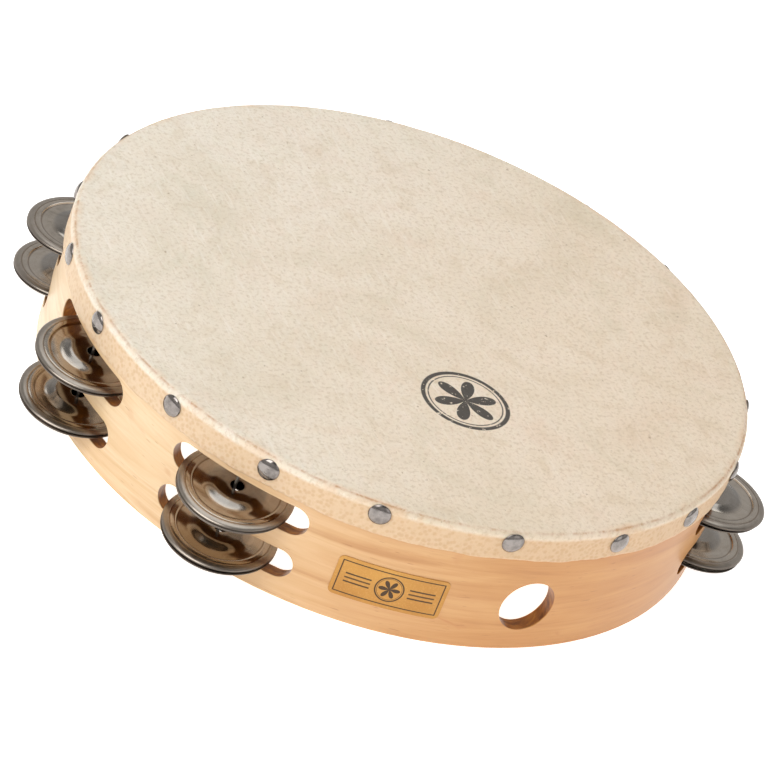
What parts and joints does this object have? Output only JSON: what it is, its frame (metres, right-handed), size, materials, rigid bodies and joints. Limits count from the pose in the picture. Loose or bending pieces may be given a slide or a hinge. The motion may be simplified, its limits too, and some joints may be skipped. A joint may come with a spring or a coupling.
{
  "type": "tambourine",
  "caption": "Headed tambourine: a round wooden shell with a folded, tacked skin head, two rows of paired metal jingles loose on pins in slots, and a thumb hole in the grip.",
  "frame": {"origin": "on the drum's axis, at the level of the open bottom edge of the shell", "axes": "+Z along the drum's axis, up through the head; -Y out through the thumb hole in the middle of the grip; +X to the right of the grip"},
  "size_m": [0.2901, 0.2673, 0.0516],
  "materials": {
    "wood": "satin lacquer",
    "skin": "matte",
    "nickel": "polished",
    "steel": "satin",
    "jingle": "nickel plated, polished",
    "label": "semi-gloss"
  },
  "bodies": {
    "drum": {"shell": "wood", "drumhead": "skin", "tacks": "nickel", "label": "label", "pin_1": "steel", "pin_2": "steel", "pin_3": "steel", "pin_4": "steel", "pin_5": "steel", "pin_6": "steel", "pin_7": "steel", "pin_8": "steel"},
    "jingle_1_lower_row_bottom": {"jingle_1_lower_row_bottom": "jingle"},
    "jingle_1_lower_row_top": {"jingle_1_lower_row_top": "jingle"},
    "jingle_1_upper_row_bottom": {"jingle_1_upper_row_bottom": "jingle"},
    "jingle_1_upper_row_top": {"jingle_1_upper_row_top": "jingle"},
    "jingle_2_lower_row_bottom": {"jingle_2_lower_row_bottom": "jingle"},
    "jingle_2_lower_row_top": {"jingle_2_lower_row_top": "jingle"},
    "jingle_2_upper_row_bottom": {"jingle_2_upper_row_bottom": "jingle"},
    "jingle_2_upper_row_top": {"jingle_2_upper_row_top": "jingle"},
    "jingle_3_lower_row_bottom": {"jingle_3_lower_row_bottom": "jingle"},
    "jingle_3_lower_row_top": {"jingle_3_lower_row_top": "jingle"},
    "jingle_3_upper_row_bottom": {"jingle_3_upper_row_bottom": "jingle"},
    "jingle_3_upper_row_top": {"jingle_3_upper_row_top": "jingle"},
    "jingle_4_lower_row_bottom": {"jingle_4_lower_row_bottom": "jingle"},
    "jingle_4_lower_row_top": {"jingle_4_lower_row_top": "jingle"},
    "jingle_4_upper_row_bottom": {"jingle_4_upper_row_bottom": "jingle"},
    "jingle_4_upper_row_top": {"jingle_4_upper_row_top": "jingle"},
    "jingle_5_lower_row_bottom": {"jingle_5_lower_row_bottom": "jingle"},
    "jingle_5_lower_row_top": {"jingle_5_lower_row_top": "jingle"},
    "jingle_5_upper_row_bottom": {"jingle_5_upper_row_bottom": "jingle"},
    "jingle_5_upper_row_top": {"jingle_5_upper_row_top": "jingle"},
    "jingle_6_lower_row_bottom": {"jingle_6_lower_row_bottom": "jingle"},
    "jingle_6_lower_row_top": {"jingle_6_lower_row_top": "jingle"},
    "jingle_6_upper_row_bottom": {"jingle_6_upper_row_bottom": "jingle"},
    "jingle_6_upper_row_top": {"jingle_6_upper_row_top": "jingle"},
    "jingle_7_lower_row_bottom": {"jingle_7_lower_row_bottom": "jingle"},
    "jingle_7_lower_row_top": {"jingle_7_lower_row_top": "jingle"},
    "jingle_7_upper_row_bottom": {"jingle_7_upper_row_bottom": "jingle"},
    "jingle_7_upper_row_top": {"jingle_7_upper_row_top": "jingle"},
    "jingle_8_lower_row_bottom": {"jingle_8_lower_row_bottom": "jingle"},
    "jingle_8_lower_row_top": {"jingle_8_lower_row_top": "jingle"},
    "jingle_8_upper_row_bottom": {"jingle_8_upper_row_bottom": "jingle"},
    "jingle_8_upper_row_top": {"jingle_8_upper_row_top": "jingle"}
  },
  "joints": [
    {"name": "slide_jingle_1_lower_row_bottom", "type": "slide", "parent": "drum", "child": "jingle_1_lower_row_bottom", "axis": [0, 0, 1], "range_m": [-0.0005, 0.0022]},
    {"name": "slide_jingle_1_lower_row_top", "type": "slide", "parent": "jingle_1_lower_row_bottom", "child": "jingle_1_lower_row_top", "axis": [0, 0, 1], "range_m": [-0.0013, 0.0022]},
    {"name": "slide_jingle_1_upper_row_bottom", "type": "slide", "parent": "drum", "child": "jingle_1_upper_row_bottom", "axis": [0, 0, 1], "range_m": [-0.0011, 0.0022]},
    {"name": "slide_jingle_1_upper_row_top", "type": "slide", "parent": "jingle_1_upper_row_bottom", "child": "jingle_1_upper_row_top", "axis": [0, 0, 1], "range_m": [-0.0008, 0.0022]},
    {"name": "slide_jingle_2_lower_row_bottom", "type": "slide", "parent": "drum", "child": "jingle_2_lower_row_bottom", "axis": [0, 0, 1], "range_m": [-0.0016, 0.0022]},
    {"name": "slide_jingle_2_lower_row_top", "type": "slide", "parent": "jingle_2_lower_row_bottom", "child": "jingle_2_lower_row_top", "axis": [0, 0, 1], "range_m": [-0.0003, 0.0022]},
    {"name": "slide_jingle_2_upper_row_bottom", "type": "slide", "parent": "drum", "child": "jingle_2_upper_row_bottom", "axis": [0, 0, 1], "range_m": [-0.0019, 0.0022]},
    {"name": "slide_jingle_2_upper_row_top", "type": "slide", "parent": "jingle_2_upper_row_bottom", "child": "jingle_2_upper_row_top", "axis": [0, 0, 1], "range_m": [0, 0.0022]},
    {"name": "slide_jingle_3_lower_row_bottom", "type": "slide", "parent": "drum", "child": "jingle_3_lower_row_bottom", "axis": [0, 0, 1], "range_m": [-0.0013, 0.0022]},
    {"name": "slide_jingle_3_lower_row_top", "type": "slide", "parent": "jingle_3_lower_row_bottom", "child": "jingle_3_lower_row_top", "axis": [0, 0, 1], "range_m": [-0.0006, 0.0022]},
    {"name": "slide_jingle_3_upper_row_bottom", "type": "slide", "parent": "drum", "child": "jingle_3_upper_row_bottom", "axis": [0, 0, 1], "range_m": [-0.0016, 0.0022]},
    {"name": "slide_jingle_3_upper_row_top", "type": "slide", "parent": "jingle_3_upper_row_bottom", "child": "jingle_3_upper_row_top", "axis": [0, 0, 1], "range_m": [-0.0002, 0.0022]},
    {"name": "slide_jingle_4_lower_row_bottom", "type": "slide", "parent": "drum", "child": "jingle_4_lower_row_bottom", "axis": [0, 0, 1], "range_m": [-0.0019, 0.0022]},
    {"name": "slide_jingle_4_lower_row_top", "type": "slide", "parent": "jingle_4_lower_row_bottom", "child": "jingle_4_lower_row_top", "axis": [0, 0, 1], "range_m": [0, 0.0022]},
    {"name": "slide_jingle_4_upper_row_bottom", "type": "slide", "parent": "drum", "child": "jingle_4_upper_row_bottom", "axis": [0, 0, 1], "range_m": [-0.0014, 0.0022]},
    {"name": "slide_jingle_4_upper_row_top", "type": "slide", "parent": "jingle_4_upper_row_bottom", "child": "jingle_4_upper_row_top", "axis": [0, 0, 1], "range_m": [-0.0005, 0.0022]},
    {"name": "slide_jingle_5_lower_row_bottom", "type": "slide", "parent": "drum", "child": "jingle_5_lower_row_bottom", "axis": [0, 0, 1], "range_m": [-0.0017, 0.0022]},
    {"name": "slide_jingle_5_lower_row_top", "type": "slide", "parent": "jingle_5_lower_row_bottom", "child": "jingle_5_lower_row_top", "axis": [0, 0, 1], "range_m": [-0.0002, 0.0022]},
    {"name": "slide_jingle_5_upper_row_bottom", "type": "slide", "parent": "drum", "child": "jingle_5_upper_row_bottom", "axis": [0, 0, 1], "range_m": [-0.0015, 0.0022]},
    {"name": "slide_jingle_5_upper_row_top", "type": "slide", "parent": "jingle_5_upper_row_bottom", "child": "jingle_5_upper_row_top", "axis": [0, 0, 1], "range_m": [-0.0004, 0.0022]},
    {"name": "slide_jingle_6_lower_row_bottom", "type": "slide", "parent": "drum", "child": "jingle_6_lower_row_bottom", "axis": [0, 0, 1], "range_m": [-0.0017, 0.0022]},
    {"name": "slide_jingle_6_lower_row_top", "type": "slide", "parent": "jingle_6_lower_row_bottom", "child": "jingle_6_lower_row_top", "axis": [0, 0, 1], "range_m": [0, 0.0022]},
    {"name": "slide_jingle_6_upper_row_bottom", "type": "slide", "parent": "drum", "child": "jingle_6_upper_row_bottom", "axis": [0, 0, 1], "range_m": [-0.0018, 0.0022]},
    {"name": "slide_jingle_6_upper_row_top", "type": "slide", "parent": "jingle_6_upper_row_bottom", "child": "jingle_6_upper_row_top", "axis": [0, 0, 1], "range_m": [0, 0.0022]},
    {"name": "slide_jingle_7_lower_row_bottom", "type": "slide", "parent": "drum", "child": "jingle_7_lower_row_bottom", "axis": [0, 0, 1], "range_m": [-0.0013, 0.002]},
    {"name": "slide_jingle_7_lower_row_top", "type": "slide", "parent": "jingle_7_lower_row_bottom", "child": "jingle_7_lower_row_top", "axis": [0, 0, 1], "range_m": [0, 0.002]},
    {"name": "slide_jingle_7_upper_row_bottom", "type": "slide", "parent": "drum", "child": "jingle_7_upper_row_bottom", "axis": [0, 0, 1], "range_m": [-0.0013, 0.002]},
    {"name": "slide_jingle_7_upper_row_top", "type": "slide", "parent": "jingle_7_upper_row_bottom", "child": "jingle_7_upper_row_top", "axis": [0, 0, 1], "range_m": [0, 0.002]},
    {"name": "slide_jingle_8_lower_row_bottom", "type": "slide", "parent": "drum", "child": "jingle_8_lower_row_bottom", "axis": [0, 0, 1], "range_m": [-0.0018, 0.0022]},
    {"name": "slide_jingle_8_lower_row_top", "type": "slide", "parent": "jingle_8_lower_row_bottom", "child": "jingle_8_lower_row_top", "axis": [0, 0, 1], "range_m": [0, 0.0022]},
    {"name": "slide_jingle_8_upper_row_bottom", "type": "slide", "parent": "drum", "child": "jingle_8_upper_row_bottom", "axis": [0, 0, 1], "range_m": [-0.0017, 0.0022]},
    {"name": "slide_jingle_8_upper_row_top", "type": "slide", "parent": "jingle_8_upper_row_bottom", "child": "jingle_8_upper_row_top", "axis": [0, 0, 1], "range_m": [0, 0.0022]}
  ]
}
